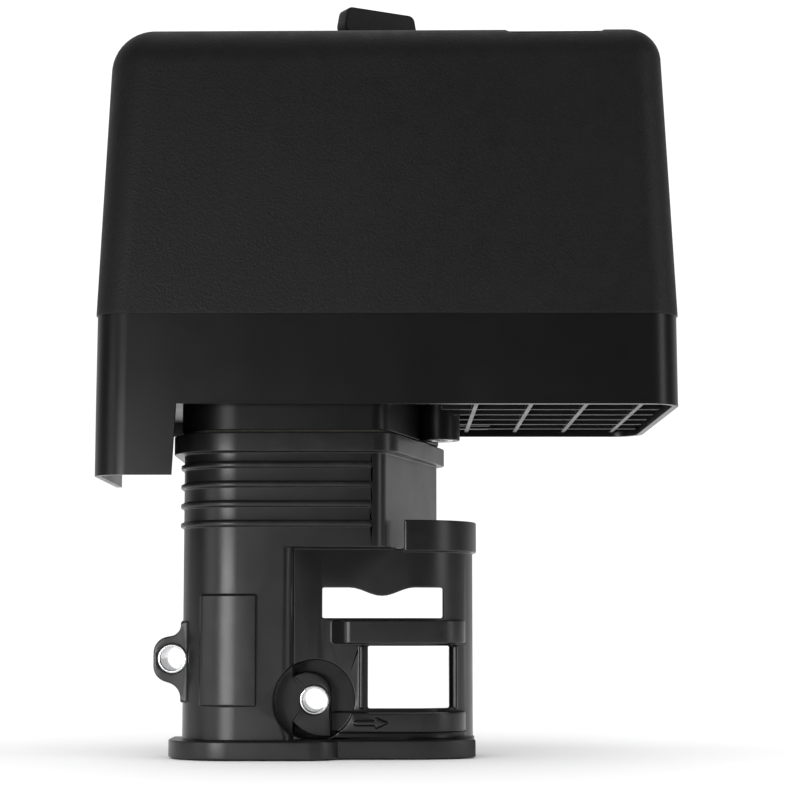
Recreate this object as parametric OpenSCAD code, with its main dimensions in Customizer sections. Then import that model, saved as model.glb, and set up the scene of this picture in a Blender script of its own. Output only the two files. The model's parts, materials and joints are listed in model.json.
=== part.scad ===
// Air filter housing of a small single-cylinder engine: cover, filter case, dual element and intake elbow.
// Millimetres. Origin at the centre of the intake port on its mating plane, +X along the cover's
// long side, +Y towards the carburettor, +Z up the port's barrel.

/* [Cover] */
// Width of the cover at its bottom edge
cover_w = 220.2; // [208:0.1:280]
// Depth of the cover at its bottom edge
cover_d = 145; // [140:1:190]
// Height of the cover from its bottom edge to its top
cover_h = 146.6; // [138:0.1:180]
// Wall of the cover
cover_wall = 2.4; // [1.6:0.1:3]
// Height of the smooth skirt below the textured part
skirt_h = 34.3; // [24:0.1:46]
// How far the front, back and left walls lean in at the top
cover_lean = 3.5; // [2:0.1:7]
// How far the right wall leans in at the top
right_lean = 4.7; // [2:0.1:7]
// Radius of the cover's upright corners
cover_corner_r = 13; // [8:0.5:16]
// Radius of the rounded top edge at the left end
top_left_r = 17; // [12:0.5:20]
// Radius of the rounded top edge at the right end
top_right_r = 13; // [10:0.5:18]
// How far the low tab hangs below the skirt
tab_drop = 26.5; // [15:0.5:32]
// Width of the low tab along the front
tab_w = 31.5; // [20:0.5:40]
// Length of the low tab along the left side
tab_d = 76; // [40:1:100]

/* [Filter element] */
// Outer radius of the paper element
element_r = 52; // [40:0.5:52]
// Radius of the element's inner opening
element_hole_r = 33; // [28:0.5:36]
// Height of the paper element
element_h = 88; // [60:1:92]
// Thickness of the foam sleeve
foam_t = 8; // [4:0.5:9]
// Number of pleats
pleats = 60; // [30:1:80]
// Radius of the centre stud
stud_r = 3; // [2.5:0.1:4]

/* [Wing nut] */
// Length of the wing nut's blade at its widest
blade_l = 34; // [30:1:50]
// Thickness of the blade
blade_t = 8; // [5:0.5:10]
// Height of the whole wing nut
knob_h = 21; // [18:0.5:26]
// Angle of the blade to the cover's long side
blade_turn = 29; // [0:1:180]

/* [Elbow] */
// Radius of the intake port
port_r = 16; // [13:0.5:16]
// Length of the intake port's bore
port_len = 9.2; // [7:0.1:11]
// Circle diameter of the two mounting studs
stud_pcd = 56.2; // [55:0.1:58]
// Tilt of the line through the two studs
stud_tilt = -16.1; // [-25:0.1:-8]
// Inner radius of the steel bushes
bush_r = 4.4; // [3.5:0.1:4.6]
// Wall of the steel bushes
bush_wall = 1.1; // [0.8:0.1:1.4]
// Length of the steel bushes
bush_len = 25.6; // [18:0.1:28]
// Outer radius of the upright barrel
barrel_r = 22; // [21:0.1:24]
// Wall of the elbow
elbow_wall = 2.6; // [2:0.1:2.8]
// Height of the duct below its collar
duct_h = 35.9; // [30:0.1:42]
// Thickness of the collar
collar_t = 7.3; // [5:0.1:9]
// Number of stiffening ribs round the duct
duct_ribs = 4; // [2:1:4]
// Distance from one rib to the next
rib_pitch = 7.4; // [5:0.1:7.8]
// How far each rib stands out
rib_out = 1.3; // [0.6:0.1:2]
// Thickness of each rib
rib_t = 2; // [1:0.1:3]

/* [Lever guard] */
// Thickness of the guard's plate
guard_t = 3; // [2:0.1:4]
// Radius of the guard's right-hand bend
guard_bend_r = 26; // [20:1:28]
// Width of the lever slot
slot_w = 46; // [36:0.5:48]
// Height of the lever slot at its ends
slot_h = 11.6; // [9:0.1:13]
// Width of the tap window
window_w = 31; // [24:0.5:33]
// Height of the tap window
window_h = 23.6; // [18:0.1:24]

/* [Hidden] */
$fn = 64;
eps = 0.01;
over = 1;
fit_gap = 0.3;
thread_gap = 0.05;

// Heights, worked up from the port
port_face_y = 0;
port_gasket_t = 0.8;
duct_floor_z = 49.6;
collar_z = duct_floor_z + duct_h;
collar_top_z = collar_z + collar_t;
elbow_gasket_t = 1.2;
case_base_z = collar_top_z + elbow_gasket_t;
cover_bottom_z = collar_top_z + 9.6;
tray_z = cover_bottom_z + 5.6;
tray_t = 2.5;
tray_top_z = tray_z + tray_t;
seat_h = 2;
element_z = tray_top_z + seat_h;
element_top_z = element_z + element_h;
cover_top_z = cover_bottom_z + cover_h;
skirt_top_z = cover_bottom_z + skirt_h;
tab_z = cover_bottom_z - tab_drop;

// Plan of the cover
cover_x0 = -55.6;
cover_x1 = cover_x0 + cover_w;
cover_y0 = -52;
cover_y1 = cover_y0 + cover_d;
skirt_lean = 0.4;
skirt_step = 0.5;
hull_fn = 32;

// Stud and element axis
axis_x = 50;
axis_y = 20.5;

// Tray inside the cover
tray_gap = 1.6;
tray_x0 = cover_x0 + cover_wall + tray_gap;
tray_x1 = cover_x1 - cover_wall - tray_gap;
tray_y0 = cover_y0 + cover_wall + tray_gap;
tray_y1 = cover_y1 - cover_wall - tray_gap;
tray_r = cover_corner_r - cover_wall;
tray_rim_t = 2;
tray_rim_h = 14;
rim_seal_t = 2.4;
rim_seal_z = tray_top_z + tray_rim_h;
ledge_w = 5.6;
ledge_t = 3;
tray_rib_t = 1.8;
tray_rib_h = 4;
tray_rib_pitch = 21;

// Plan of the elbow's duct and collar
duct_x0 = -24;
duct_x1 = 53;
duct_y0 = -37;
duct_y1 = 51;
duct_splay = 24.5;
collar_out = 4;
duct_left_r = barrel_r;
rib_first = 5.8;
duct_front_r = 6;
duct_back_r = 9;
neck_in = 1;

// Barrel
barrel_side_x = 18.8;
barrel_side_r = 3.5;
barrel_base_z = -22.6;
flange_t = 6.6;
flange_z = barrel_base_z - flange_t;
pad_x0 = -16;
pad_x1 = 5.4;
pad_z0 = -9.7;
pad_z1 = 31.7;
pad_out = 0.8;

// Mounting lugs
bush_out_r = bush_r + bush_wall;
lug_r = bush_out_r + 2;
lug_right_w = 17.7;
lug_right_h = 24.2;
lug_y = port_face_y - bush_len + 0.5;
lug_foot_r = 15.4;
lug_left_top = 14;
lug_left_foot = 16.5;
lug_foot_y = -17;
lug_pocket_r = 15.2;
stud_x = stud_pcd / 2 * cos(stud_tilt);
stud_z = stud_pcd / 2 * sin(stud_tilt);
port_ring_r = port_r + 7;

// Guard: a plate with its right-hand end bent back
guard_x0 = 18.8;
guard_x1 = 88;
guard_y = -22;
guard_bend_x = guard_x1 - guard_bend_r;
guard_bend_y = guard_y + guard_bend_r;
guard_back_y = 14;
guard_web_x = 29;
guard_web_y = -27;
guard_panel_x = 61;
guard_panel_h = 11;
slot_x0 = 29.7;
slot_z0 = 23.1;
wave_x0 = 40;
wave_x1 = 65;
wave_drop = 3.2;
window_x0 = 47.2;
window_z0 = -11.1;
shelf_out = 5;
shelf_z0 = window_z0 + window_h + 1;
shelf_z1 = slot_z0 - 1;
bar_out = 6;
bar_z0 = -20;
bar_z1 = window_z0 - 1.5;
jamb_t = 1.6;
jamb_out = 1.2;
arrow_x = 40;
arrow_out = 0.6;

// Bottom flange
flange_x0 = -28.7;
flange_round_x1 = 37;
flange_y0 = -44;
flange_side_y = -36;
flange_back_y = 6;
flange_left_r = 24;
flange_right_r = 12;

// Stay boss of the case and its bush
stay_x = 75.5;
stay_y = 14;
stay_boss_r = 8;
stay_bush_r = 5.5;
stay_hole_r = 3.3;
stay_z = case_base_z;

// Screws that hold the case to the elbow: x, y of each
screw_r = 2.4;
screw_boss_r = 5.2;
screw_in = elbow_wall + screw_boss_r - 1;
screw_arc = (duct_left_r - screw_in) * 0.7;
screw_spots = [[duct_x0 + screw_in, duct_y1 - screw_in],
               [duct_x0 + duct_left_r - screw_arc, duct_y0 + duct_left_r - screw_arc],
               [duct_x1 - screw_in, duct_y0 + screw_in],
               [duct_x1 + duct_splay - screw_in - 1.6, duct_y1 - screw_in]];
screw_head_r = 4.4;
screw_well_r = 5;
screw_head_h = 3.2;
screw_seat_z = case_base_z + 4;
screw_boss_h = 18;
screw_washer_t = 1;
screw_tip_z = collar_top_z - 13;

// Stud, its hub and nuts
hub_r = 8;
hub_z = case_base_z + 2;
spoke_t = 3;
spoke_h = 9;
nut_h = 5;
nut_r = 5.6;
stud_top_z = cover_top_z + 10;
outlet_in = 3;

// Intake snorkel beside the elbow
snorkel_x0 = -49;
snorkel_x1 = -33;
snorkel_y0 = -36;
snorkel_y1 = 14;
snorkel_wall = 1.8;
snorkel_z = tab_z + 9;
snorkel_lip = 1.8;
snorkel_r = 3;

// Breather spigot on the back of the duct
breather_x = 6;
breather_z = collar_z - 15;
breather_r = 6.5;
breather_bore_r = 4.5;
breather_len = 16;

// Element details
cap_h = 8;
screen_t = 0.8;
pleat_gap = 1;
core_hole_r = 2.6;
core_rows = 5;
core_holes = 16;
screen_bars = 30;
screen_rings = 6;
foam_r = element_r + fit_gap + foam_t;
cap_hole_r = stud_r + 0.6;
washer_r = 10;
washer_t = 1.5;

// Small wing nut on top of the element
small_hub_r = 7;
small_hub_h = 7;
small_wing_l = 30;
small_wing_t = 3;
small_wing_h = 14;

// Large wing nut on top of the cover
grommet_flange_r = 11;
grommet_flange_t = 1.5;
grommet_hole_r = 8;
knob_z = cover_top_z + grommet_flange_t + 0.2;
knob_hub_r = 11;
knob_hub_h = 6;
insert_r = 5.5;
insert_h = 10;
knob_post_r = 7.5;
blade_in = 1.5;
blade_shoulder = 8;
cover_boss_r = 14;
cover_boss_h = 6;

// Recess across the cover's top front edge
label_x0 = 100;
label_x1 = 138;
label_ramp = 4;
label_depth = 2.6;
label_d = 20;

function unit(v) = v / norm(v);

// Points of one corner at p, between the neighbours a and b, rounded to radius r
function corner(a, p, b, r, steps = 8) =
    r <= 0 ? [p] :
    let (u = unit(a - p), v = unit(b - p), half = acos(u * v) / 2)
    let (c = p + unit(u + v) * r / sin(half), s = p + u * r / tan(half) - c)
    let (e = p + v * r / tan(half) - c, from = atan2(s[1], s[0]))
    let (sweep = (atan2(e[1], e[0]) - from + 900) % 360 - 180)
    [for (i = [0:steps]) c + r * [cos(from + sweep * i / steps), sin(from + sweep * i / steps)]];

// Closed outline through pts with each corner rounded to its radius
function rounded(pts, radii) =
    let (n = len(pts))
    [for (i = [0:n - 1]) each corner(pts[(i + n - 1) % n], pts[i], pts[(i + 1) % n], radii[i])];

// Outline of the duct's plan, grown outwards by out
function duct_plan(out) =
    rounded([[duct_x0 - out, duct_y0 - out], [duct_x1 + out, duct_y0 - out],
             [duct_x1 + duct_splay + out, duct_y1 + out], [duct_x0 - out, duct_y1 + out]],
            [duct_left_r + out, duct_front_r + out, duct_back_r + out, duct_back_r + out]);

// Outline of the barrel's plan, grown outwards by out and closed at back_y
function barrel_plan(out, back_y) =
    rounded([[duct_x0 - out, duct_y0 - out], [barrel_side_x + out, duct_y0 - out],
             [barrel_side_x + out, back_y], [duct_x0 - out, back_y]],
            [duct_left_r + out, barrel_side_r + out, 0, 0]);

// Rounded rectangle from corner to corner
function box_plan(x0, x1, y0, y1, r) =
    rounded([[x0, y0], [x1, y0], [x1, y1], [x0, y1]], [r, r, r, r]);

// Plan of the tray, shrunk by inset
function tray_plan(inset) =
    box_plan(tray_x0 + inset, tray_x1 - inset, tray_y0 + inset, tray_y1 - inset, tray_r - inset);

module prism(points, z0, z1) {
    translate([0, 0, z0]) linear_extrude(z1 - z0) polygon(points);
}

// A shape drawn in X and Z, standing from y0 back to y1
module upright(y0, y1) {
    translate([0, y1, 0]) rotate([90, 0, 0]) linear_extrude(y1 - y0) children();
}

module rod_y(x, z, r, y0, y1) {
    translate([x, y0, z]) rotate([-90, 0, 0]) cylinder(r = r, h = y1 - y0);
}

module rod_z(x, y, r, z0, z1) {
    translate([x, y, z0]) cylinder(r = r, h = z1 - z0);
}

module tube_z(x, y, r_out, r_in, z0, z1) {
    difference() {
        rod_z(x, y, r_out, z0, z1);
        rod_z(x, y, r_in, z0 - over, z1 + over);
    }
}

// ---- Elbow ----

module port_plate_outline(grow) {
    circle(r = port_ring_r + grow);
    for (side = [-1, 1])
        translate([side * stud_x, side * stud_z]) circle(r = lug_r + grow);
    rotate(stud_tilt) square([stud_pcd, 2 * lug_r + grow], center = true);
}

module right_lug() {
    x1 = stud_x + lug_r - 1.4;
    z1 = stud_z + lug_r + 2.9;
    upright(lug_y, -port_gasket_t)
        polygon(rounded([[x1, z1 - lug_right_h], [x1, z1], [x1 - lug_right_w, z1],
                         [x1 - lug_right_w, z1 - lug_right_h]], [0, 8.5, 8.5, 15]));
    upright(lug_foot_y, -port_gasket_t) {
        translate([stud_x, stud_z]) circle(r = lug_foot_r);
        translate([stud_x - lug_foot_r + 6, barrel_base_z])
            square([2 * lug_foot_r - 6, stud_z - barrel_base_z]);
    }
}

module left_lug() {
    side = lug_r - 0.2;
    wall_x = duct_x0 + stud_x;
    upright(lug_y, -port_gasket_t)
        translate([-stud_x, -stud_z])
            polygon(rounded([[wall_x + 5, lug_left_top], [wall_x, lug_left_top],
                             [wall_x, lug_r + 1.7], [-side, side], [-side, -side],
                             [wall_x, -lug_r - 3.1], [wall_x, -lug_left_foot],
                             [wall_x + 5, -lug_left_foot]],
                            [0, 0, 4.2, 6.2, 6.2, 6, 0, 0]));
}

module barrel_outer() {
    prism(barrel_plan(0, -port_gasket_t), flange_z, duct_floor_z);
    intersection() {
        prism(barrel_plan(pad_out, 0), pad_z0, pad_z1);
        translate([pad_x0, duct_y0 - over, pad_z0])
            cube([pad_x1 - pad_x0, barrel_r, pad_z1 - pad_z0]);
    }
}

module duct_outer() {
    prism(duct_plan(0), duct_floor_z, collar_z + over);
    prism(duct_plan(collar_out), collar_z, collar_top_z);
    intersection() {
        for (i = [0:duct_ribs - 1])
            translate([0, 0, collar_z - rib_first - i * rib_pitch])
                prism(duct_plan(rib_out), 0, rib_t);
        translate([duct_x0 - 2 * rib_out, duct_y0 - 2 * rib_out, duct_floor_z])
            cube([duct_x1 - duct_x0 - 2, duct_y1 - duct_y0, duct_h]);
    }
}

// Plan of a wall that follows the guard, from y_out in front of its face to its back
module guard_plan(out, thick) {
    difference() {
        union() {
            translate([guard_x0 - 2, guard_y - out])
                square([guard_bend_x - guard_x0 + 2, thick + out]);
            intersection() {
                translate([guard_bend_x, guard_bend_y]) circle(r = guard_bend_r + out);
                translate([guard_bend_x, guard_y - out])
                    square([guard_bend_r + out + over, guard_bend_r + out]);
            }
            translate([guard_x1 - thick, guard_bend_y])
                square([thick + out, guard_back_y - guard_bend_y]);
        }
        translate([guard_bend_x, guard_bend_y]) circle(r = guard_bend_r - thick);
    }
}

module guard_wall(z0, z1, out) {
    translate([0, 0, z0]) linear_extrude(z1 - z0) guard_plan(out, guard_t);
}

// Plan of a ledge on the guard's face: starts at x0, slants out over ramp, ends in the bend
function shelf_plan(x0, ramp, out, end_r) =
    rounded([[x0, guard_y + guard_t], [x0 + ramp, guard_y - out], [guard_x1 - 4, guard_y - out],
             [guard_x1 - 3, guard_bend_y - 8]], [0, ramp / 2, end_r, 0]);

// Slot with a wave in its top edge
module slot_outline() {
    polygon([[slot_x0, slot_z0], [slot_x0 + slot_w, slot_z0],
             [slot_x0 + slot_w, slot_z0 + slot_h],
             for (i = [0:12])
                 let (x = wave_x1 - (wave_x1 - wave_x0) * i / 12)
                 [x, slot_z0 + slot_h - wave_drop * (1 - cos(i * 30)) / 2],
             [slot_x0, slot_z0 + slot_h]]);
}

module guard() {
    difference() {
        union() {
            guard_wall(barrel_base_z, duct_floor_z, 0);
            intersection() {
                guard_wall(duct_floor_z - over, duct_floor_z + guard_panel_h, 1.5);
                translate([guard_panel_x, guard_y - 10, duct_floor_z - over])
                    cube([guard_bend_r + 10, guard_bend_r + 30, guard_panel_h + over]);
            }
            prism(shelf_plan(guard_web_x + 1, 9, shelf_out, 12), shelf_z0, shelf_z1);
            prism(shelf_plan(stud_x, 0, bar_out, 18), bar_z0, bar_z1);
            prism([[guard_x0 - 2, guard_web_y], [guard_x0, guard_web_y], [guard_web_x, guard_y],
                   [guard_web_x, guard_y + guard_t], [guard_x0 - 2, guard_y + guard_t]],
                  barrel_base_z, duct_floor_z);
            for (x = [window_x0 - 2 * jamb_t, window_x0 + window_w + jamb_t])
                translate([x, guard_y - jamb_out, window_z0])
                    cube([jamb_t, jamb_out + guard_t + (x > window_x0 ? 8 : 0), window_h]);
        }
        upright(guard_y - 20, guard_back_y + over) slot_outline();
        translate([window_x0, guard_y - 20, window_z0])
            cube([window_w, guard_back_y - guard_y + 21, window_h]);
        rod_y(stud_x, stud_z, lug_pocket_r, guard_y - 30, guard_y + guard_t + over);
    }
    arrow();
}

// Raised plain arrow on the guard's lower bar
module arrow() {
    upright(guard_y - bar_out - arrow_out, guard_y)
        polygon([[arrow_x + 2, -17.3], [arrow_x + 10, -17.3], [arrow_x + 10, -18.6],
                 [arrow_x + 15, -16.4], [arrow_x + 10, -14.2], [arrow_x + 10, -15.5],
                 [arrow_x + 2, -15.5]]);
}

module bottom_flange() {
    prism(rounded([[flange_x0, flange_y0], [flange_round_x1, flange_y0],
                   [flange_round_x1, -port_gasket_t], [flange_x0, -port_gasket_t]],
                  [flange_left_r, flange_right_r, 0, 3]), flange_z, barrel_base_z);
    translate([0, 0, flange_z]) linear_extrude(flange_t) union() {
        translate([flange_round_x1 - flange_right_r, flange_side_y])
            square([guard_bend_x - flange_round_x1 + flange_right_r, -flange_side_y - 10]);
        intersection() {
            translate([guard_bend_x, guard_bend_y])
                circle(r = guard_bend_r - flange_side_y + guard_y);
            translate([guard_bend_x, flange_side_y - over])
                square([guard_x1 - guard_bend_x, flange_back_y - flange_side_y]);
        }
    }
}

module elbow() {
    color("#1b1b1c") difference() {
        union() {
            difference() {
                union() {
                    barrel_outer();
                    duct_outer();
                }
                rod_y(stud_x, stud_z, lug_pocket_r, duct_y0 - 2, lug_y);
            }
            guard();
            bottom_flange();
            left_lug();
            right_lug();
            upright(-port_len - port_gasket_t, -port_gasket_t) port_plate_outline(0);
            rod_y(breather_x, breather_z, breather_r, duct_y1 - elbow_wall, duct_y1 + breather_len);
        }
        difference() {
            prism(duct_plan(-elbow_wall), duct_floor_z + elbow_wall, collar_top_z + over);
            for (spot = screw_spots)
                rod_z(spot[0], spot[1], screw_boss_r, collar_top_z - screw_boss_h, collar_top_z);
        }
        difference() {
            prism(barrel_plan(-elbow_wall, -port_len - port_gasket_t), barrel_base_z,
                  duct_floor_z + elbow_wall + over);
            rod_y(stud_x, stud_z, lug_pocket_r + elbow_wall, duct_y0, lug_y + elbow_wall);
        }
        rod_y(0, 0, port_r, -port_len - port_gasket_t - over, over);
        for (side = [-1, 1])
            rod_y(side * stud_x, side * stud_z, bush_out_r, lug_y - over, over);
        for (spot = screw_spots)
            rod_z(spot[0], spot[1], screw_r, screw_tip_z - over, collar_top_z + over);
        rod_z(stay_x, stay_y, stay_hole_r + 0.5, collar_z - over, collar_top_z + over);
        rod_y(breather_x, breather_z, breather_bore_r, duct_y1 - elbow_wall - over,
              duct_y1 + breather_len + over);
    }
}

module port_gasket() {
    color("#3c3a34") difference() {
        upright(-port_gasket_t, 0) port_plate_outline(0);
        rod_y(0, 0, port_r, -port_gasket_t - over, over);
        for (side = [-1, 1])
            rod_y(side * stud_x, side * stud_z, bush_out_r, -port_gasket_t - over, over);
    }
}

module bush(side) {
    color("silver") difference() {
        rod_y(side * stud_x, side * stud_z, bush_out_r, -bush_len, 0);
        rod_y(side * stud_x, side * stud_z, bush_r, -bush_len - over, over);
    }
}

module bush_left() { bush(-1); }

module bush_right() { bush(1); }

module elbow_gasket() {
    color("#2e2e2c") difference() {
        prism(duct_plan(neck_in - 2 * fit_gap), collar_top_z, case_base_z);
        difference() {
            prism(duct_plan(-elbow_wall), collar_top_z - over, case_base_z + over);
            for (spot = screw_spots)
                rod_z(spot[0], spot[1], screw_boss_r, collar_top_z, case_base_z);
        }
        for (spot = screw_spots)
            rod_z(spot[0], spot[1], screw_r, collar_top_z - over, case_base_z + over);
    }
}

// ---- Filter case ----

module tray_ribs() {
    rib_top = tray_z + eps;
    intersection() {
        union() {
            for (x = [tray_x1 - 10 : -tray_rib_pitch : stay_x + stay_boss_r + 4])
                translate([x, tray_y0, tray_z - tray_rib_h])
                    cube([tray_rib_t, tray_y1 - tray_y0, tray_rib_h + eps]);
            for (y = [tray_y0 + 14 : tray_rib_pitch : tray_y1 - 8])
                translate([stay_x, y, tray_z - tray_rib_h])
                    cube([tray_x1 - stay_x, tray_rib_t, tray_rib_h + eps]);
            for (y = [tray_y1 - 16, tray_y1 - 32])
                translate([tray_x0 + 22, y, tray_z - tray_rib_h])
                    cube([stay_x - tray_x0, tray_rib_t, tray_rib_h + eps]);
        }
        prism(tray_plan(0), tray_z - tray_rib_h, rib_top);
    }
}

module case_neck() {
    difference() {
        union() {
            prism(duct_plan(neck_in), case_base_z, tray_z + eps);
            rod_z(stay_x, stay_y, stay_boss_r, stay_z, tray_z + eps);
        }
        difference() {
            prism(duct_plan(-elbow_wall), case_base_z - over, tray_z + over);
            for (spot = screw_spots)
                rod_z(spot[0], spot[1], screw_well_r + 1.6, case_base_z, tray_z);
        }
    }
}

// Opening from the inside of the element into the neck
module outlet() {
    intersection() {
        rod_z(axis_x, axis_y, element_hole_r - outlet_in, tray_z - over, tray_top_z + over);
        prism(duct_plan(-elbow_wall - 1), tray_z - over, tray_top_z + over);
    }
}

module spider() {
    rod_z(axis_x, axis_y, hub_r, hub_z, tray_top_z);
    intersection() {
        for (turn = [0:120:240])
            translate([axis_x, axis_y, 0]) rotate(turn + 100)
                translate([0, -spoke_t / 2, tray_top_z - spoke_h])
                    cube([element_hole_r + 20, spoke_t, spoke_h]);
        prism(duct_plan(-elbow_wall + eps), tray_top_z - spoke_h, tray_top_z);
        rod_z(axis_x, axis_y, element_hole_r, tray_top_z - spoke_h, tray_top_z);
    }
}

module filter_case() {
    color("#1d1d1e") difference() {
        union() {
            difference() {
                prism(tray_plan(0), tray_z, rim_seal_z);
                prism(tray_plan(tray_rim_t), tray_top_z, rim_seal_z + over);
            }
            tube_z(axis_x, axis_y, element_r, element_hole_r, tray_z + eps, element_z);
            tray_ribs();
            case_neck();
        }
        outlet();
        for (spot = screw_spots) {
            rod_z(spot[0], spot[1], screw_well_r, screw_seat_z, element_z + over);
            rod_z(spot[0], spot[1], screw_r, case_base_z - over, screw_seat_z + over);
        }
        rod_z(stay_x, stay_y, stay_bush_r, stay_z - over, tray_top_z + over);
        prism(box_plan(snorkel_x0, snorkel_x1, snorkel_y0, snorkel_y1, snorkel_r),
              tray_z - over, tray_top_z + over);
        rod_z(axis_x, axis_y, hub_r - eps, hub_z, element_z + over);
    }
    color("#1d1d1e") difference() {
        spider();
        rod_z(axis_x, axis_y, stud_r, hub_z - over, tray_top_z + over);
    }
}

module case_rim_seal() {
    color("#111112") difference() {
        prism(tray_plan(0), rim_seal_z, rim_seal_z + rim_seal_t);
        prism(tray_plan(tray_rim_t), rim_seal_z - over, rim_seal_z + rim_seal_t + over);
    }
}

module case_screws() {
    color("silver") for (spot = screw_spots) {
        rod_z(spot[0], spot[1], screw_r, screw_tip_z, screw_seat_z + screw_washer_t + eps);
        difference() {
            rod_z(spot[0], spot[1], screw_head_r, screw_seat_z + screw_washer_t,
                  screw_seat_z + screw_washer_t + screw_head_h);
            rod_z(spot[0], spot[1], screw_r, screw_seat_z + screw_washer_t + 1.4,
                  screw_seat_z + screw_washer_t + screw_head_h + over);
        }
    }
}

module case_screw_washers() {
    color("silver") for (spot = screw_spots)
        tube_z(spot[0], spot[1], screw_head_r + 0.3, screw_r, screw_seat_z,
               screw_seat_z + screw_washer_t);
}

module center_stud() {
    color("silver") rod_z(axis_x, axis_y, stud_r, hub_z - nut_h - 1.5, stud_top_z);
}

module hex_nut(z) {
    translate([axis_x, axis_y, z]) difference() {
        cylinder(r = nut_r, h = nut_h, $fn = 6);
        translate([0, 0, -over]) cylinder(r = stud_r, h = nut_h + 2 * over);
    }
}

module stud_nuts() {
    color("silver") {
        hex_nut(hub_z - nut_h);
        hex_nut(tray_top_z);
    }
}

module stay_bush() {
    color("silver") tube_z(stay_x, stay_y, stay_bush_r, stay_hole_r, stay_z, tray_top_z);
}

module intake_snorkel() {
    lip = snorkel_lip + snorkel_wall;
    color("#202021") difference() {
        union() {
            prism(box_plan(snorkel_x0, snorkel_x1, snorkel_y0, snorkel_y1, snorkel_r),
                  snorkel_z, tray_top_z + eps);
            prism(box_plan(snorkel_x0 - snorkel_lip / 4, snorkel_x1 + snorkel_lip,
                           snorkel_y0 - snorkel_lip, snorkel_y1 + snorkel_lip, snorkel_r),
                  tray_top_z, tray_top_z + snorkel_lip);
        }
        prism(box_plan(snorkel_x0 + snorkel_wall, snorkel_x1 - snorkel_wall,
                       snorkel_y0 + snorkel_wall, snorkel_y1 - snorkel_wall, snorkel_r - 1),
              snorkel_z - lip, tray_top_z + lip);
    }
}

// ---- Filter element ----

module element_bottom_cap() {
    color("#5c3a22") tube_z(axis_x, axis_y, element_r, element_hole_r, element_z, element_z + cap_h);
}

module element_top_cap() {
    color("#5c3a22")
        tube_z(axis_x, axis_y, element_r, cap_hole_r, element_top_z - cap_h, element_top_z);
}

module inner_core() {
    core_z0 = element_z + cap_h;
    core_z1 = element_top_z - cap_h;
    pitch = (core_z1 - core_z0) / (core_rows + 1);
    color("#b8bab8") difference() {
        tube_z(axis_x, axis_y, element_hole_r + 2 + screen_t, element_hole_r + 2, core_z0, core_z1);
        for (row = [1:core_rows], i = [0:core_holes - 1])
            translate([axis_x, axis_y, core_z0 + row * pitch])
                rotate([0, 90, (i + row % 2 / 2) * 360 / core_holes])
                    translate([0, 0, element_hole_r]) cylinder(r = core_hole_r, h = 6);
    }
}

module outer_screen() {
    screen_z0 = element_z + cap_h;
    screen_z1 = element_top_z - cap_h;
    step = (screen_z1 - screen_z0 - screen_t) / (screen_rings - 1);
    r_out = element_r - 1;
    color("#a9aba9") union() {
        for (i = [0:screen_rings - 1])
            tube_z(axis_x, axis_y, r_out, r_out - screen_t, screen_z0 + i * step,
                   screen_z0 + i * step + screen_t);
        for (i = [0:screen_bars - 1])
            translate([axis_x, axis_y, screen_z0]) rotate(i * 360 / screen_bars)
                translate([r_out - screen_t * 0.9, -screen_t / 2, 0])
                    cube([screen_t * 0.8, screen_t, screen_z1 - screen_z0]);
    }
}

module pleated_paper() {
    paper_in = element_hole_r + 2 + screen_t + pleat_gap;
    paper_out = element_r - 1 - screen_t - pleat_gap;
    fold = 0.7;
    color("#d8b878") translate([axis_x, axis_y, element_z + cap_h])
        linear_extrude(element_h - 2 * cap_h) difference() {
            polygon([for (i = [0:2 * pleats - 1])
                (i % 2 == 0 ? paper_out : paper_in + 2 * fold)
                * [cos(i * 180 / pleats), sin(i * 180 / pleats)]]);
            polygon([for (i = [0:2 * pleats - 1])
                (i % 2 == 0 ? paper_out - 6 * fold : paper_in)
                * [cos(i * 180 / pleats), sin(i * 180 / pleats)]]);
        }
}

module foam_sleeve() {
    color("#4a4a48") tube_z(axis_x, axis_y, foam_r, element_r + fit_gap, element_z, element_top_z);
}

module element_washer() {
    color("silver")
        tube_z(axis_x, axis_y, washer_r, stud_r + thread_gap, element_top_z + eps,
               element_top_z + washer_t);
}

module element_wing_nut() {
    nut_z = element_top_z + washer_t;
    color("silver") translate([axis_x, axis_y, nut_z]) difference() {
        union() {
            cylinder(r = small_hub_r, h = small_hub_h);
            for (side = [-1, 1])
                translate([0, small_wing_t / 2, 0]) rotate([90, 0, 0])
                    linear_extrude(small_wing_t)
                        polygon(rounded([[side * (small_hub_r - 3), 1],
                                         [side * small_wing_l / 2, small_hub_h - 1],
                                         [side * small_wing_l / 2, small_wing_h],
                                         [side * (small_hub_r + 1.5), small_wing_h]],
                                        [0, 2, 3, 2]));
        }
        translate([0, 0, -over]) cylinder(r = stud_r + thread_gap, h = small_wing_h + 2 * over);
    }
}

// ---- Cover ----

// Tapered box with rounded upright corners, shrunk by inset
module skirt_block(inset, z0, z1) {
    hull() {
        for (end = [[z0, 0], [z1 - eps, skirt_lean]])
            for (x = [cover_x0, cover_x1], y = [cover_y0, cover_y1])
                translate([x + (x < 0 ? 1 : -1) * (cover_corner_r + end[1]),
                           y + (y < 0 ? 1 : -1) * (cover_corner_r + end[1]), end[0]])
                    cylinder(r = cover_corner_r - inset, h = eps, $fn = hull_fn);
    }
}

module upper_block(inset, z0) {
    foot = skirt_lean - skirt_step;
    hull() {
        for (x = [cover_x0, cover_x1], y = [cover_y0, cover_y1]) {
            r = x < 0 ? top_left_r : top_right_r;
            translate([x + (x < 0 ? 1 : -1) * (cover_corner_r + foot),
                       y + (y < 0 ? 1 : -1) * (cover_corner_r + foot), z0])
                cylinder(r = cover_corner_r - inset, h = eps, $fn = hull_fn);
            lean = x < 0 ? cover_lean : right_lean;
            translate([x + (x < 0 ? 1 : -1) * (r + lean),
                       y + (y < 0 ? 1 : -1) * (r + cover_lean), cover_top_z - r])
                sphere(r = r - inset, $fn = hull_fn);
        }
    }
}

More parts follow.
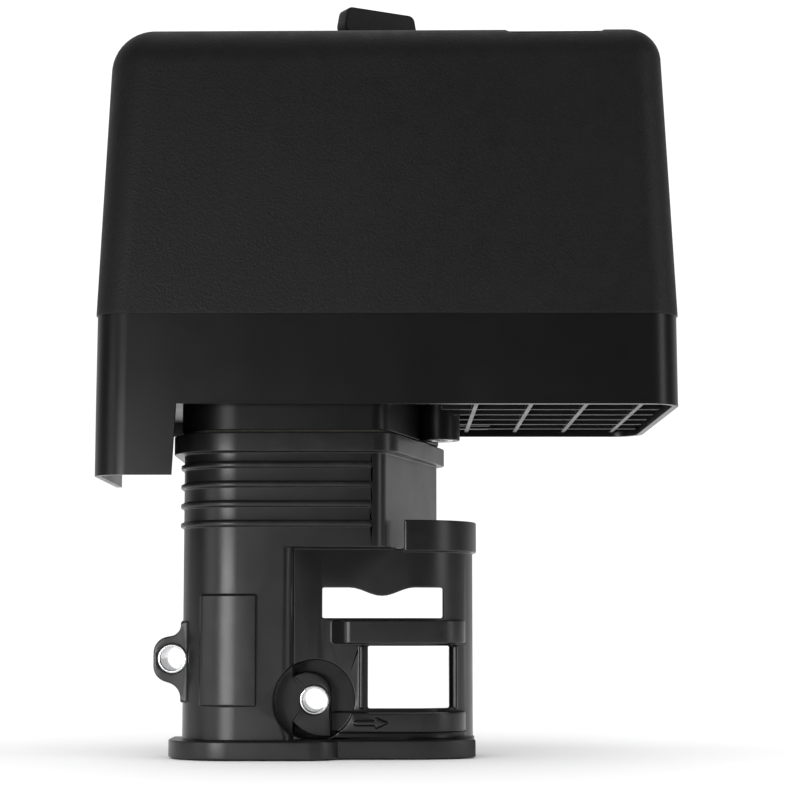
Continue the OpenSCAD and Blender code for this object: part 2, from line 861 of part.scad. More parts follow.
// What is left of the skirt below its edge: all but the low tab
module below_skirt() {
    low = tab_z - over;
    tab_x1 = cover_x0 + tab_w;
    upright(cover_y0 - over, cover_y1 + over)
        polygon([[tab_x1 - 1.5, low], [tab_x1, cover_bottom_z], [cover_x1 + over, cover_bottom_z],
                 [cover_x1 + over, low]]);
    translate([cover_x0 - over, cover_y0 + tab_d, low])
        cube([cover_w + 2 * over, cover_d, cover_bottom_z - low]);
}

module cover_ledge() {
    ledge_z = rim_seal_z + rim_seal_t;
    difference() {
        prism(box_plan(cover_x0 + 1.6, cover_x1 - 1.6, cover_y0 + 1.6, cover_y1 - 1.6,
                       cover_corner_r - 1.6), ledge_z, ledge_z + ledge_t);
        prism(box_plan(cover_x0 + cover_wall + ledge_w, cover_x1 - cover_wall - ledge_w,
                       cover_y0 + cover_wall + ledge_w, cover_y1 - cover_wall - ledge_w,
                       cover_corner_r - ledge_w), ledge_z - over, ledge_z + ledge_t + over);
    }
}

module cover_shell() {
    color("#232324") difference() {
        union() {
            difference() {
                union() {
                    skirt_block(0, tab_z, skirt_top_z);
                    upper_block(0, skirt_top_z - eps);
                }
                skirt_block(cover_wall, tab_z - over, skirt_top_z - 3);
                upper_block(cover_wall, skirt_top_z - 3 - eps);
                below_skirt();
            }
            cover_ledge();
            rod_z(axis_x, axis_y, cover_boss_r, cover_top_z - cover_wall - cover_boss_h,
                  cover_top_z - cover_wall + eps);
        }
        rod_z(axis_x, axis_y, grommet_hole_r, cover_top_z - 40, cover_top_z + over);
        upright(cover_y0 - over, cover_y0 + label_d)
            polygon([[label_x0, cover_top_z], [label_x0 + label_ramp, cover_top_z - label_depth],
                     [label_x1 - label_ramp, cover_top_z - label_depth], [label_x1, cover_top_z],
                     [label_x1, cover_top_z + over], [label_x0, cover_top_z + over]]);
    }
}

module cover_grommet() {
    grommet_z0 = cover_top_z - cover_wall - cover_boss_h;
    color("#151516") difference() {
        union() {
            rod_z(axis_x, axis_y, grommet_hole_r, grommet_z0, cover_top_z + eps);
            rod_z(axis_x, axis_y, grommet_flange_r, cover_top_z, cover_top_z + grommet_flange_t);
        }
        rod_z(axis_x, axis_y, stud_r + fit_gap, grommet_z0 - over,
              cover_top_z + grommet_flange_t + over);
    }
}

module wing_nut() {
    top = knob_h;
    color("#1e1e1f") difference() {
        translate([axis_x, axis_y, knob_z]) rotate(blade_turn) union() {
            cylinder(r = knob_hub_r, h = knob_hub_h);
            cylinder(r = knob_post_r, h = insert_h + 2);
            translate([0, blade_t / 2, 0]) rotate([90, 0, 0]) linear_extrude(blade_t)
                polygon(rounded([[-knob_hub_r + 2, 1], [knob_hub_r - 2, 1],
                                 [blade_l / 2, top - blade_shoulder],
                                 [blade_l / 2 - blade_in, top], [blade_in - blade_l / 2, top],
                                 [-blade_l / 2, top - blade_shoulder]],
                                [0, 0, 3, 3, 3, 3]));
        }
        rod_z(axis_x, axis_y, insert_r, knob_z - over, knob_z + insert_h);
        rod_z(axis_x, axis_y, stud_r + fit_gap, knob_z, stud_top_z + 1);
    }
}

module wing_nut_insert() {
    color("#b08d3c")
        tube_z(axis_x, axis_y, insert_r, stud_r + thread_gap, knob_z, knob_z + insert_h);
}

elbow();
filter_case();
elbow_gasket();
port_gasket();
case_rim_seal();
center_stud();
stud_nuts();
case_screws();
case_screw_washers();
bush_left();
bush_right();
intake_snorkel();
stay_bush();
cover_shell();
cover_grommet();
wing_nut();
wing_nut_insert();
element_top_cap();
element_bottom_cap();
pleated_paper();
inner_core();
outer_screen();
foam_sleeve();
element_wing_nut();
element_washer();
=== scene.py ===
"""Looks of the air filter housing: cover, filter case, element and elbow, built round the CAD frame."""
import json
import math

import bmesh
import bpy
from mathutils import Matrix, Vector


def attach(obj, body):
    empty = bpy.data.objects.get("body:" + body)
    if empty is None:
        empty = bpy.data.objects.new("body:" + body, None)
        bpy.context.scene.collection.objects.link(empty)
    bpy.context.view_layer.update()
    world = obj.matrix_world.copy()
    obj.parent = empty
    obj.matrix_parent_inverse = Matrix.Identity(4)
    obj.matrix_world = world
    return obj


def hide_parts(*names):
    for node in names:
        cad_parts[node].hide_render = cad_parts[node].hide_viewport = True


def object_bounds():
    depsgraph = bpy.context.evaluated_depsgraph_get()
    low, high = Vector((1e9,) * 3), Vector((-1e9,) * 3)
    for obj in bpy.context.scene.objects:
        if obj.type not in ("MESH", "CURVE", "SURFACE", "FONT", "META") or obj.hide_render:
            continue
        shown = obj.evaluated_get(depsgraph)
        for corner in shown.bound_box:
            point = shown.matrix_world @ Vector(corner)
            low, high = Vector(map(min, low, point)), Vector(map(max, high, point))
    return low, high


MM = 0.001
SKIRT_TOP = 136.7  # mm, the line between the cover's smooth skirt and its textured walls
WHITE = (1.0, 1.0, 1.0, 1.0)

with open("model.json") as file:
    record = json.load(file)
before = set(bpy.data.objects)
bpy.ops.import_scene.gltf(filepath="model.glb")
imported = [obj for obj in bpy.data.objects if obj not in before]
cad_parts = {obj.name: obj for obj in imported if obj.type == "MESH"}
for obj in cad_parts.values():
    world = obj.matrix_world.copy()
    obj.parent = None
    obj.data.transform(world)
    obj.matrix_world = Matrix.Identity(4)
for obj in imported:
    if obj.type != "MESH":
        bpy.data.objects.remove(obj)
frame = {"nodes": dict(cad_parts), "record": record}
cad_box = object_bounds()
nodes = frame["nodes"]
body_of = {node: body for body, names in frame["record"]["behaviour"]["bodies"].items() for node in names}


# ---------------------------------------------------------------- node helpers

class Shader:
    """One material's node tree, with short calls for the nodes that the materials share."""

    def __init__(self, name):
        self.material = bpy.data.materials.new(name)
        self.material.use_nodes = True
        self.tree = self.material.node_tree
        self.tree.nodes.clear()
        self.out = self.add("ShaderNodeOutputMaterial")
        self.bsdf = self.add("ShaderNodeBsdfPrincipled")
        self.link(self.bsdf.outputs["BSDF"], self.out.inputs["Surface"])
        self.place = self.add("ShaderNodeTexCoord").outputs["Object"]
        self.normal = None

    def add(self, kind, **settings):
        node = self.tree.nodes.new(kind)
        for key, value in settings.items():
            setattr(node, key, value)
        return node

    def link(self, start, end):
        self.tree.links.new(start, end)

    def set(self, **sockets):
        for key, value in sockets.items():
            self.bsdf.inputs[key.replace("_", " ")].default_value = value

    def stretched(self, scale):
        mapping = self.add("ShaderNodeMapping")
        mapping.inputs["Scale"].default_value = scale
        self.link(self.place, mapping.inputs["Vector"])
        return mapping.outputs["Vector"]

    def noise(self, scale, detail=4.0, roughness=0.55, stretch=None):
        node = self.add("ShaderNodeTexNoise")
        node.inputs["Scale"].default_value = scale
        node.inputs["Detail"].default_value = detail
        node.inputs["Roughness"].default_value = roughness
        self.link(self.stretched(stretch) if stretch else self.place, node.inputs["Vector"])
        return node.outputs["Fac"]

    def voronoi(self, scale, feature="F1"):
        node = self.add("ShaderNodeTexVoronoi", feature=feature)
        node.inputs["Scale"].default_value = scale
        self.link(self.place, node.inputs["Vector"])
        return node.outputs["Distance"]

    def math(self, operation, first, second):
        node = self.add("ShaderNodeMath", operation=operation)
        for socket, value in zip(node.inputs, (first, second)):
            if isinstance(value, (int, float)):
                socket.default_value = value
            else:
                self.link(value, socket)
        return node.outputs["Value"]

    def spread(self, value, low, high, to_low, to_high):
        node = self.add("ShaderNodeMapRange")
        for key, number in (("From Min", low), ("From Max", high), ("To Min", to_low), ("To Max", to_high)):
            node.inputs[key].default_value = number
        self.link(value, node.inputs["Value"])
        return node.outputs["Result"]

    def ramp(self, value, stops):
        node = self.add("ShaderNodeValToRGB")
        elements = node.color_ramp.elements
        while len(elements) < len(stops):
            elements.new(0.5)
        for element, (at, colour) in zip(elements, stops):
            element.position = at
            element.color = (*colour, 1.0)
        self.link(value, node.inputs["Fac"])
        return node.outputs["Color"]

    def mix(self, factor, first, second):
        node = self.add("ShaderNodeMix", data_type="RGBA")
        self.link(factor, node.inputs["Factor"])
        for socket, value in ((node.inputs[6], first), (node.inputs[7], second)):
            if isinstance(value, tuple):
                socket.default_value = (*value, 1.0)
            else:
                self.link(value, socket)
        return node.outputs[2]

    def edge(self):
        """0 on flat faces, 1 on sharp outer edges."""
        pointiness = self.add("ShaderNodeNewGeometry").outputs["Pointiness"]
        return self.spread(pointiness, 0.52, 0.62, 0.0, 1.0)

    def bump(self, height, distance):
        """Adds relief on top of what is there: height from 0 to 1, over distance in metres."""
        node = self.add("ShaderNodeBump")
        node.inputs["Strength"].default_value = 1.0
        node.inputs["Distance"].default_value = distance
        self.link(height, node.inputs["Height"])
        if self.normal:
            self.link(self.normal, node.inputs["Normal"])
        self.normal = node.outputs["Normal"]

    def finish(self, colour=None, roughness=None):
        if colour:
            self.link(colour, self.bsdf.inputs["Base Color"])
        if roughness:
            self.link(roughness, self.bsdf.inputs["Roughness"])
        if self.normal:
            self.link(self.normal, self.bsdf.inputs["Normal"])
        return self.material


# ---------------------------------------------------------------- materials

def moulded_plastic(name, dark, light, rough_low, rough_high, grain, grain_height, specular=0.5):
    """Injection-moulded plastic: fine grain, slight flow clouds and a painted highlight, in patches, on the
    sharp edges.
    """
    s = Shader(name)
    s.set(Specular_IOR_Level=specular, IOR=1.49)
    clouds = s.noise(22.0, 5.0)
    colour = s.ramp(clouds, ((0.3, dark), (0.75, light)))
    # Paler colour on the sharp edges, in noisy patches: a painted highlight.
    edge_highlight = tuple(min(1.0, 2.2 * c + 0.012) for c in light)
    highlight_patches = s.spread(s.noise(160.0), 0.45, 0.7, 0.0, 0.6)
    colour = s.mix(s.math("MULTIPLY", s.edge(), highlight_patches), colour, edge_highlight)
    marks = s.noise(60.0, 6.0, 0.6)
    roughness = s.spread(marks, 0.3, 0.7, rough_low, rough_high)
    s.bump(s.noise(grain, 3.0), grain_height)
    s.bump(s.noise(9.0, 2.0), 0.0001)
    return s.finish(colour, roughness)


def textured_cover(skirt_z):
    """Cover plastic: spark-textured above the skirt's line and smooth, semi-gloss below it."""
    s = Shader("cover_textured_plastic")
    s.set(Specular_IOR_Level=0.38, IOR=1.49)
    height = s.add("ShaderNodeSeparateXYZ")
    s.link(s.place, height.inputs["Vector"])
    upper = s.spread(height.outputs["Z"], skirt_z - 0.0001, skirt_z + 0.0001, 0.0, 1.0)
    clouds = s.noise(18.0, 5.0)
    colour = s.ramp(clouds, ((0.3, (0.0035, 0.0035, 0.0037)), (0.75, (0.0052, 0.0052, 0.0055))))
    speck = s.spread(s.voronoi(1500.0), 0.15, 0.5, 1.0, 0.0)
    colour = s.mix(s.math("MULTIPLY", s.math("MULTIPLY", speck, upper), 0.35), colour, (0.012, 0.012, 0.0125))
    # Paler colour on the sharp edges: a painted highlight.
    colour = s.mix(s.math("MULTIPLY", s.edge(), 0.35), colour, (0.035, 0.035, 0.036))
    matt = s.spread(s.noise(140.0, 5.0), 0.3, 0.7, 0.47, 0.58)
    smooth = s.spread(s.noise(40.0, 6.0), 0.3, 0.7, 0.27, 0.34)
    blend = s.add("ShaderNodeMix", data_type="FLOAT")
    s.link(upper, blend.inputs["Factor"])
    s.link(smooth, blend.inputs[2])
    s.link(matt, blend.inputs[3])
    pits = s.math("ADD", s.math("MULTIPLY", s.voronoi(1100.0), 0.8), s.noise(2400.0, 2.0))
    s.bump(s.math("MULTIPLY", pits, upper), 0.00010)
    s.bump(s.noise(5.0, 2.0), 0.0006)
    return s.finish(colour, blend.outputs[0])


def zinc_plate(name, tint, rough_low, rough_high):
    """Bright zinc plate: fine turning lines and cloudy, darker patches."""
    s = Shader(name)
    s.set(Metallic=1.0)
    clouds = s.noise(90.0, 5.0)
    darker = tuple(0.72 * c for c in tint)
    colour = s.ramp(clouds, ((0.3, darker), (0.7, tint)))
    lines = s.noise(260.0, 3.0, 0.5, (1.0, 9.0, 1.0))
    roughness = s.spread(lines, 0.3, 0.7, rough_low, rough_high)
    s.bump(lines, 0.00002)
    return s.finish(colour, roughness)


def rubber(name, dark, light):
    """Matt rubber with a fine grain."""
    s = Shader(name)
    s.set(Specular_IOR_Level=0.35)
    colour = s.ramp(s.noise(120.0, 6.0), ((0.3, dark), (0.75, light)))
    s.bump(s.noise(900.0, 3.0), 0.00004)
    return s.finish(colour, s.spread(s.noise(200.0), 0.3, 0.7, 0.55, 0.75))


def gasket_fibre():
    """Pressed fibre sheet."""
    s = Shader("gasket_fibre")
    s.set(Specular_IOR_Level=0.25)
    fibres = s.noise(700.0, 6.0, 0.7, (1.0, 4.0, 1.0))
    colour = s.ramp(fibres, ((0.3, (0.016, 0.015, 0.013)), (0.7, (0.05, 0.047, 0.04))))
    s.bump(fibres, 0.00005)
    return s.finish(colour, s.spread(fibres, 0.3, 0.7, 0.75, 0.95))


def filter_paper():
    """Resin-treated paper: fibres and paler and darker stains."""
    s = Shader("pleated_filter_paper")
    s.set(Specular_IOR_Level=0.2)
    fibres = s.noise(900.0, 8.0, 0.75)
    stain = s.noise(14.0, 4.0)
    colour = s.ramp(fibres, ((0.25, (0.42, 0.28, 0.11)), (0.75, (0.68, 0.5, 0.25))))
    colour = s.mix(s.spread(stain, 0.5, 0.75, 0.0, 0.5), colour, (0.36, 0.23, 0.09))
    s.bump(fibres, 0.00006)
    return s.finish(colour, s.spread(fibres, 0.2, 0.8, 0.8, 0.95))


def open_foam():
    """Open-cell foam: pale cell walls round cells darkened with painted shade."""
    s = Shader("open_cell_foam")
    s.set(Specular_IOR_Level=0.15, Sheen_Weight=0.25)
    cells = s.voronoi(750.0, "DISTANCE_TO_EDGE")
    walls = s.spread(cells, 0.02, 0.2, 1.0, 0.0)
    # Darker colour in the cells, away from the walls: painted shade in the pores.
    colour = s.mix(walls, (0.006, 0.006, 0.006), (0.05, 0.05, 0.052))
    s.bump(walls, 0.0006)
    return s.finish(colour, s.spread(s.noise(300.0), 0.3, 0.7, 0.85, 1.0))


def turned_brass():
    """Brass with turning lines."""
    s = Shader("turned_brass")
    s.set(Metallic=1.0)
    lines = s.noise(500.0, 3.0, 0.5, (1.0, 1.0, 12.0))
    colour = s.ramp(lines, ((0.3, (0.45, 0.3, 0.1)), (0.7, (0.75, 0.55, 0.24))))
    s.bump(lines, 0.00002)
    return s.finish(colour, s.spread(lines, 0.3, 0.7, 0.22, 0.38))


def backdrop():
    """Pale studio floor with a little grain."""
    s = Shader("studio_floor")
    s.set(Specular_IOR_Level=0.1)
    colour = s.ramp(s.noise(6.0), ((0.3, (0.93, 0.93, 0.93)), (0.7, (0.96, 0.96, 0.96))))
    return s.finish(colour, s.spread(s.noise(40.0), 0.3, 0.7, 0.8, 0.9))


elbow_black = moulded_plastic("elbow_gloss_black", (0.0055, 0.0055, 0.0058), (0.0085, 0.0085, 0.009),
                              0.28, 0.35, 1400.0, 0.000008, 0.52)
case_black = moulded_plastic("case_satin_black", (0.003, 0.003, 0.0032), (0.005, 0.005, 0.0052),
                             0.3, 0.4, 1400.0, 0.00002, 0.38)
knob_black = moulded_plastic("knob_matt_black", (0.0035, 0.0035, 0.0037), (0.006, 0.006, 0.006),
                             0.4, 0.5, 1600.0, 0.00008, 0.4)
snorkel_black = moulded_plastic("snorkel_matt_black", (0.01, 0.01, 0.01), (0.015, 0.015, 0.015),
                                0.4, 0.52, 1500.0, 0.00005)
cover_black = textured_cover(SKIRT_TOP * MM)
zinc = zinc_plate("bright_zinc", (0.8, 0.81, 0.83), 0.2, 0.34)
screen = zinc_plate("screen_steel", (0.6, 0.61, 0.6), 0.3, 0.45)
seal = rubber("seal_rubber", (0.008, 0.008, 0.008), (0.016, 0.016, 0.016))
cap = rubber("end_cap_rubber", (0.12, 0.035, 0.014), (0.2, 0.07, 0.03))
gasket = gasket_fibre()
paper = filter_paper()
foam = open_foam()
brass = turned_brass()

MATERIAL_OF = {
    "elbow": elbow_black, "filter_case": case_black, "elbow_gasket": gasket, "port_gasket": gasket,
    "case_rim_seal": seal, "center_stud": zinc, "stud_nuts": zinc, "case_screws": zinc,
    "case_screw_washers": zinc, "bush_left": zinc, "bush_right": zinc, "intake_snorkel": snorkel_black,
    "stay_bush": zinc, "cover_shell": cover_black, "cover_grommet": seal, "wing_nut": knob_black,
    "wing_nut_insert": brass, "element_top_cap": cap, "element_bottom_cap": cap, "pleated_paper": paper,
    "inner_core": screen, "outer_screen": screen, "foam_sleeve": foam, "element_wing_nut": zinc,
    "element_washer": zinc,
}
for name, material in MATERIAL_OF.items():
    for slot in nodes[name].material_slots:
        slot.material = material


# ---------------------------------------------------------------- meshes

SHARP_SHADING = math.radians(38.0)


def stand_in(piece, node):
    """Puts a finished piece in the place of its CAD node."""
    piece.data.materials.clear()
    piece.data.materials.append(MATERIAL_OF[node])
    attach(piece, body_of[node])
    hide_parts(node)


def round_edges(bm, width, sharp, clamp, **settings):
    """Rounds, to width, the edges that turn by more than sharp degrees."""
    limit = math.radians(sharp)
    edges = [e for e in bm.edges if len(e.link_faces) == 2 and e.calc_face_angle(0.0) > limit]
    bmesh.ops.bevel(bm, geom=edges, offset=width, offset_type="OFFSET", segments=2, profile=0.5,
                    affect="EDGES", clamp_overlap=clamp, **settings)
    for face in bm.faces:
        face.smooth = True


def rounded_copy(node, width):
    """A copy of a CAD node with its flat faces joined up and its edges rounded to width."""
    piece = nodes[node].copy()
    piece.data = nodes[node].data.copy()
    piece.name = f"{node}_moulded"
    piece.parent = None
    bpy.context.scene.collection.objects.link(piece)
    bm = bmesh.new()
    bm.from_mesh(piece.data)
    bmesh.ops.remove_doubles(bm, verts=bm.verts, dist=1e-5)
    bmesh.ops.dissolve_degenerate(bm, dist=2e-5, edges=bm.edges)
    bmesh.ops.dissolve_limit(bm, angle_limit=math.radians(1.0), verts=bm.verts, edges=bm.edges,
                             delimit={"NORMAL"})
    bmesh.ops.connect_verts_concave(bm, faces=[f for f in bm.faces if len(f.verts) > 4])
    round_edges(bm, width, 32.0, False, miter_outer="ARC")
    bm.to_mesh(piece.data)
    bm.free()
    if piece.data.has_custom_normals:
        piece.data.attributes.remove(piece.data.attributes["custom_normal"])
    piece.data.set_sharp_from_angle(angle=SHARP_SHADING)
    flatten_shading(piece)
    stand_in(piece, node)
    return piece


def flatten_shading(piece):
    """Lets the larger faces set the shading, so flat faces stay flat beside rounded edges."""
    weights = piece.modifiers.new("face_weights", "WEIGHTED_NORMAL")
    weights.weight = 100
    weights.keep_sharp = True


class Cover:
    """The cover, lofted as rings round its plan: skirt, step, leaning walls, round top and hollow inside."""
    x0, x1, y0, y1 = -55.6, 164.6, -52.0, 93.0
    wall = 2.4
    tab_z, rim_z, step_z, top_z = 75.9, 102.4, SKIRT_TOP, 249.0
    corner_r, left_r, right_r = 13.0, 17.0, 13.0
    left_lean, right_lean, skirt_lean, foot_lean = 3.5, 4.7, 0.4, -0.1
    tab_x, tab_y, tab_slope = -24.1, 24.0, 1.5
    label_x = (100.0, 104.0, 134.0, 138.0)
    label_depth = 2.6
    stud = (50.0, 20.5)
    hole_r, boss_r, boss_h = 8.0, 14.0, 6.0
    seat_low, seat_high, seat_reach, seat_inset = 126.9, 129.9, 8.0, 1.6
    rim_inset, skirt_inset, skirt_rise, inner_drop, tab_gap, label_lift = 0.1, 0.17, 1.5, 3.0, 0.3, 0.2
    lean_shares = (0.02, 0.25, 0.5, 0.75, 1.0)
    tiny = 0.01
    columns_x = (-12.0, 2.0, 16.0, 30.0, 42.0, 50.0, 58.0, 70.0, 85.0, 119.0)
    columns_y = (-24.0, -12.0, 0.0, 12.0, 20.5, 30.0, 42.0, 56.0, 68.0)
    arc_steps, round_steps = 14, 12

    def __init__(self):
        self.bm = bmesh.new()

    def plan(self, left, right, side_l, side_r, left_r, right_r):
        """Points round the plan with their shares of the way from left to right, given how far the ends and
        the long sides, at their left and right ends, stand in from the cover's box."""
        x0, x1 = self.x0 + left, self.x1 - right
        start, end = x0 + left_r, x1 - right_r
        points = []

        def arc(cx, cy, r, turn, share):
            for step in range(self.arc_steps + 1):
                a = math.radians(turn + 90.0 * step / self.arc_steps)
                points.append((cx + r * math.cos(a), cy + r * math.sin(a), share))

        def side(x, base, sign):
            share = (x - start) / (end - start)
            points.append((x, base + sign * (side_l + (side_r - side_l) * share), share))

        arc(start, self.y0 + side_l + left_r, left_r, 180.0, 0.0)
        for x in sorted((self.tab_x - self.tab_slope, self.tab_x, *self.label_x, *self.columns_x)):
            side(x, self.y0, 1.0)
        arc(end, self.y0 + side_r + right_r, right_r, 270.0, 1.0)
        points.extend((x1, y, 1.0) for y in self.columns_y)
        arc(end, self.y1 - side_r - right_r, right_r, 0.0, 1.0)
        for x in reversed(self.columns_x):
            side(x, self.y1, -1.0)
        arc(start, self.y1 - side_l - left_r, left_r, 90.0, 0.0)
        rows = sorted((self.tab_y + self.tab_gap, self.tab_y, *self.columns_y), reverse=True)
        points.extend((x0, y, 0.0) for y in rows)
        return points

    def label_top(self, x, y, depth_below):
        """The label recess's floor at x, or the cover's top elsewhere."""
        a, b, c, d = self.label_x
        if y > 0 or x <= a or x >= d:
            return self.top_z - depth_below
        drop = self.label_depth * min(1.0, (x - a) / (b - a), (d - x) / (d - c))
        return self.top_z - drop - depth_below

    def ring(self, points, heights):
        return [self.bm.verts.new((x * MM, y * MM, z * MM)) for (x, y, _), z in zip(points, heights)]

    def join(self, low, high):
        count = len(low)
        for i in range(count):
            j = (i + 1) % count
            self.bm.faces.new((low[i], low[j], high[j], high[i]))

    def rim(self, points):
        """Height of the lower edge at each point: down at the tab, up everywhere else."""
        slope_x = self.tab_x - self.tab_slope
        return [self.tab_z if x <= slope_x + self.tiny and y <= self.tab_y else self.rim_z
                for x, y, _ in points]

    def skin(self, wall):
        """Rings of the outside (wall 0) or the inside, from the lower edge up to the flat top."""
        corner = self.corner_r - wall
        rings = []

        def level(lean_l, lean_r, lean_s, r_l, r_r, heights):
            points = self.plan(lean_l + wall, lean_r + wall, lean_s + wall, lean_s + wall, r_l, r_r)
            rings.append(self.ring(points, heights(points)))

        def at(z):
            return lambda points: [z] * len(points)

        step = self.step_z - (self.inner_drop if wall else 0.0)
        for inset, place in ((self.rim_inset, self.rim), (self.skirt_inset, at(self.rim_z + self.skirt_rise)),
                             (self.skirt_lean, at(step))):
            level(inset, inset, inset, corner, corner, place)
        foot = self.foot_lean
        left_z, right_z = self.top_z - self.left_r, self.top_z - self.right_r
        left_r, right_r = self.left_r - wall, self.right_r - wall
        if not wall:
            level(foot, foot, foot, corner, corner, at(self.step_z))
        for share in self.lean_shares:
            def rise(points, part=share):
                return [step + part * (left_z + (right_z - left_z) * p[2] - step) for p in points]
            level(foot + share * (self.left_lean - foot), foot + share * (self.right_lean - foot),
                  foot + share * (self.left_lean - foot), corner + share * (left_r - corner),
                  corner + share * (right_r - corner), rise)
        for k in range(1, self.round_steps + 1):
            a = math.radians(90.0 * k / self.round_steps)
            sink_l, sink_r = left_r * (1.0 - math.cos(a)), right_r * (1.0 - math.cos(a))
            points = self.shoulder(wall, sink_l, sink_r, left_r * math.cos(a), right_r * math.cos(a))
            z_l, z_r = left_z + left_r * math.sin(a), right_z + right_r * math.sin(a)
            heights = [min(z_l * (1.0 - s) + z_r * s, self.label_top(x, y, wall)) for x, y, s in points]
            rings.append(self.ring(points, heights))
        last = self.shoulder(wall, left_r, right_r, 0.0, 0.0)
        flat_top = self.top_z - wall - self.tiny
        lifted = [(x, y + (self.label_lift if self.label_top(x, y, wall) < flat_top else 0.0), s)
                  for x, y, s in last]
        rings.append(self.ring(lifted, [self.top_z - wall] * len(last)))
        for low, high in zip(rings, rings[1:]):
            self.join(low, high)
        return rings

    def shoulder(self, wall, sink_l, sink_r, r_l, r_r):
        """Plan of one ring of the top's rounding."""
        near, far = self.left_lean + wall + sink_l, self.left_lean + wall + sink_r
        return self.plan(near, self.right_lean + wall + sink_r, near, far, r_l, r_r)

    def circle(self, r, z, outline):
        """Points round the stud at radius r, each facing its own point of the outline."""
        cx, cy = self.stud
        angles = [math.atan2(v.co.y / MM - cy, v.co.x / MM - cx) for v in outline]
        return [self.bm.verts.new(((cx + r * math.cos(a)) * MM, (cy + r * math.sin(a)) * MM, z * MM))
                for a in angles]

    def seat(self):
        """The ledge inside that presses on the case's seal."""
        near, far, low, high = self.seat_inset, self.seat_reach, self.seat_low, self.seat_high
        rings = []
        for inset, z in ((near, low), (near, high), (far, high), (far, low)):
            points = self.plan(inset, inset, inset, inset, self.corner_r - inset, self.corner_r - inset)
            rings.append(self.ring(points, [z] * len(points)))
        for lower, upper in zip(rings, rings[1:] + rings[:1]):
            self.join(lower, upper)

    def build(self):
        """Outside, inside, the wing nut's hole and its boss as one closed skin, and the ledge."""
        outside, inside = self.skin(0.0), self.skin(self.wall)
        self.join(inside[0], outside[0])
        inner_z = self.top_z - self.wall
        top = self.circle(self.hole_r, self.top_z, outside[-1])
        under = self.circle(self.hole_r, inner_z - self.boss_h, inside[-1])
        edge = self.circle(self.boss_r, inner_z - self.boss_h, inside[-1])
        root = self.circle(self.boss_r, inner_z, inside[-1])
        for low, high in ((outside[-1], top), (top, under), (under, edge), (edge, root), (root, inside[-1])):
            self.join(low, high)
        self.seat()
        bmesh.ops.remove_doubles(self.bm, verts=self.bm.verts, dist=1e-6)
        bmesh.ops.dissolve_degenerate(self.bm, dist=1e-6, edges=self.bm.edges)
        return self.bm


EDGE_WIDTH = {
    "elbow": 0.6, "filter_case": 0.35, "wing_nut": 0.8, "intake_snorkel": 0.5,
    "bush_left": 0.25, "bush_right": 0.25, "elbow_gasket": 0.15, "stud_nuts": 0.2, "stay_bush": 0.25,
    "case_screws": 0.2, "element_wing_nut": 0.3, "element_top_cap": 0.5, "element_bottom_cap": 0.5,
    "cover_grommet": 0.3, "center_stud": 0.2, "element_washer": 0.15, "case_screw_washers": 0.12,
    "foam_sleeve": 1.6,
}
pieces = {name: rounded_copy(name, width * MM) for name, width in EDGE_WIDTH.items()}


def finished_mesh(bm, name, width):
    """A new piece from a built mesh, with its edges rounded to width and its faces smooth."""
    bmesh.ops.recalc_face_normals(bm, faces=bm.faces)
    round_edges(bm, width, 35.0, True)
    mesh = bpy.data.meshes.new(name)
    bm.to_mesh(mesh)
    bm.free()
    mesh.set_sharp_from_angle(angle=SHARP_SHADING)
    piece = bpy.data.objects.new(name, mesh)
    bpy.context.scene.collection.objects.link(piece)
    flatten_shading(piece)
    return piece


stand_in(finished_mesh(Cover().build(), "cover_shell_moulded", 0.35 * MM), "cover_shell")


# ---------------------------------------------------------------- studio

CAMERA_PLACE = (0.0575, -0.862, 0.0197)
CAMERA_UP, CAMERA_TURN = 5.92, -0.13  # degrees above level, and round from straight on
FOCAL_MM, SENSOR_MM = 98.5, 36.0


def add_camera():
    data = bpy.data.cameras.new("photo_camera")
    camera = bpy.data.objects.new("photo_camera", data)
    bpy.context.scene.collection.objects.link(camera)
    data.lens = FOCAL_MM
    data.sensor_width = SENSOR_MM
    data.clip_start = 0.01
    camera.location = CAMERA_PLACE
    camera.rotation_euler = (math.radians(90.0 + CAMERA_UP), 0.0, math.radians(CAMERA_TURN))
    bpy.context.scene.camera = camera


def add_panel(name, place, target, width, height, watts):
    data = bpy.data.lights.new(name, "AREA")
    data.shape = "RECTANGLE"
    data.size = width
    data.size_y = height
    data.energy = watts
    light = bpy.data.objects.new(name, data)
    bpy.context.scene.collection.objects.link(light)
    light.visible_camera = False
    light.location = place
    light.rotation_euler = (Vector(target) - Vector(place)).to_track_quat("-Z", "Y").to_euler()


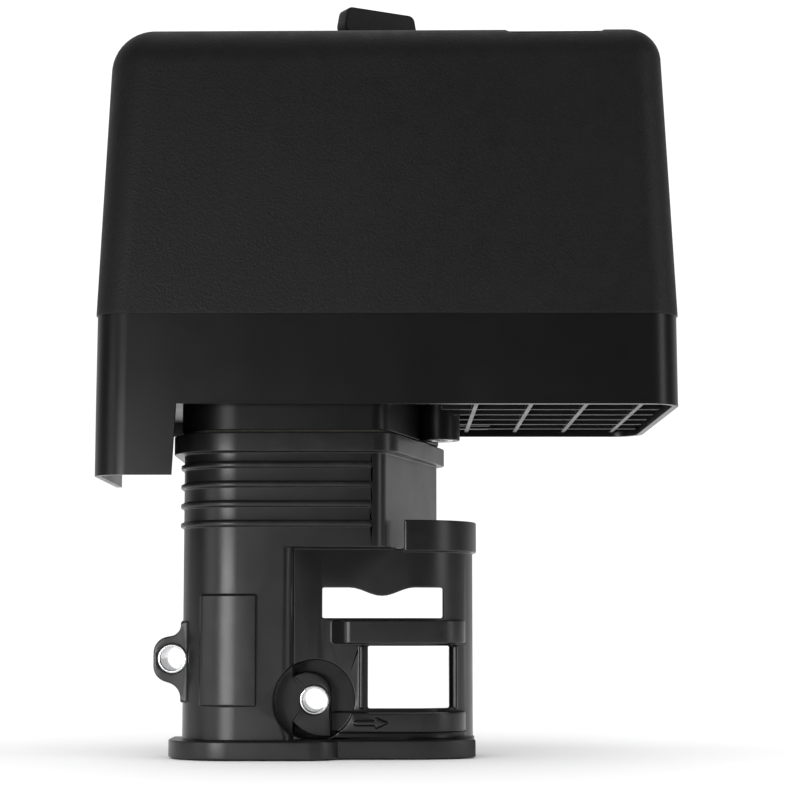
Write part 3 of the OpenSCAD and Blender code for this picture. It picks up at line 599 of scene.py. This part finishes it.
def add_floor(z):
    """A floor that reaches far behind the object and stops short of the camera."""
    mesh = bpy.data.meshes.new("studio_floor")
    left, right, near, far = -1.2, 1.3, -0.32, 3.0
    mesh.from_pydata([(left, near, z), (right, near, z), (right, far, z), (left, far, z)], [], [(0, 1, 2, 3)])
    floor = bpy.data.objects.new("studio_floor", mesh)
    bpy.context.scene.collection.objects.link(floor)
    mesh.materials.append(backdrop())


def add_world():
    """White where the camera looks, white for the matt floor, and darker in the plastic's reflections."""
    world = bpy.data.worlds.new("studio")
    bpy.context.scene.world = world
    world.use_nodes = True
    tree = world.node_tree
    tree.nodes.clear()
    path = tree.nodes.new("ShaderNodeLightPath")

    def glow(strength):
        node = tree.nodes.new("ShaderNodeBackground")
        node.inputs["Color"].default_value = WHITE
        node.inputs["Strength"].default_value = strength
        return node.outputs["Background"]

    def choose(factor, first, second):
        node = tree.nodes.new("ShaderNodeMixShader")
        tree.links.new(factor, node.inputs["Fac"])
        tree.links.new(first, node.inputs[1])
        tree.links.new(second, node.inputs[2])
        return node.outputs["Shader"]

    direction = tree.nodes.new("ShaderNodeSeparateXYZ")
    tree.links.new(tree.nodes.new("ShaderNodeTexCoord").outputs["Generated"], direction.inputs["Vector"])
    behind = tree.nodes.new("ShaderNodeMapRange")
    behind.interpolation_type = "SMOOTHSTEP"
    behind.inputs["From Min"].default_value = 0.1
    behind.inputs["From Max"].default_value = 0.75
    tree.links.new(direction.outputs["Y"], behind.inputs["Value"])
    mirrored = choose(behind.outputs["Result"], glow(0.036), glow(0.6))
    reflected = choose(path.outputs["Is Glossy Ray"], glow(1.15), mirrored)
    seen = choose(path.outputs["Is Camera Ray"], reflected, glow(1.1))
    tree.links.new(seen, tree.nodes.new("ShaderNodeOutputWorld").inputs["Surface"])


CENTRE = (0.054, 0.02, 0.12)
FLOOR_GAP = 0.5 * MM
add_camera()
add_world()
add_floor(cad_box[0][2] - FLOOR_GAP)
add_panel("key_left", (-0.34, -0.8, 0.03), (0.0, 0.0, 0.03), 0.31, 0.16, 2.2)
add_panel("fill_left", (-0.75, -0.5, 0.1), (0.0, 0.0, 0.05), 0.35, 0.25, 0.5)
add_panel("rim_right", (0.75, -0.35, 0.2), CENTRE, 0.2, 0.7, 1.0)
add_panel("top_soft", (0.1, 0.1, 1.15), CENTRE, 0.8, 0.6, 1.0)
bpy.context.scene.view_settings.view_transform = "Standard"
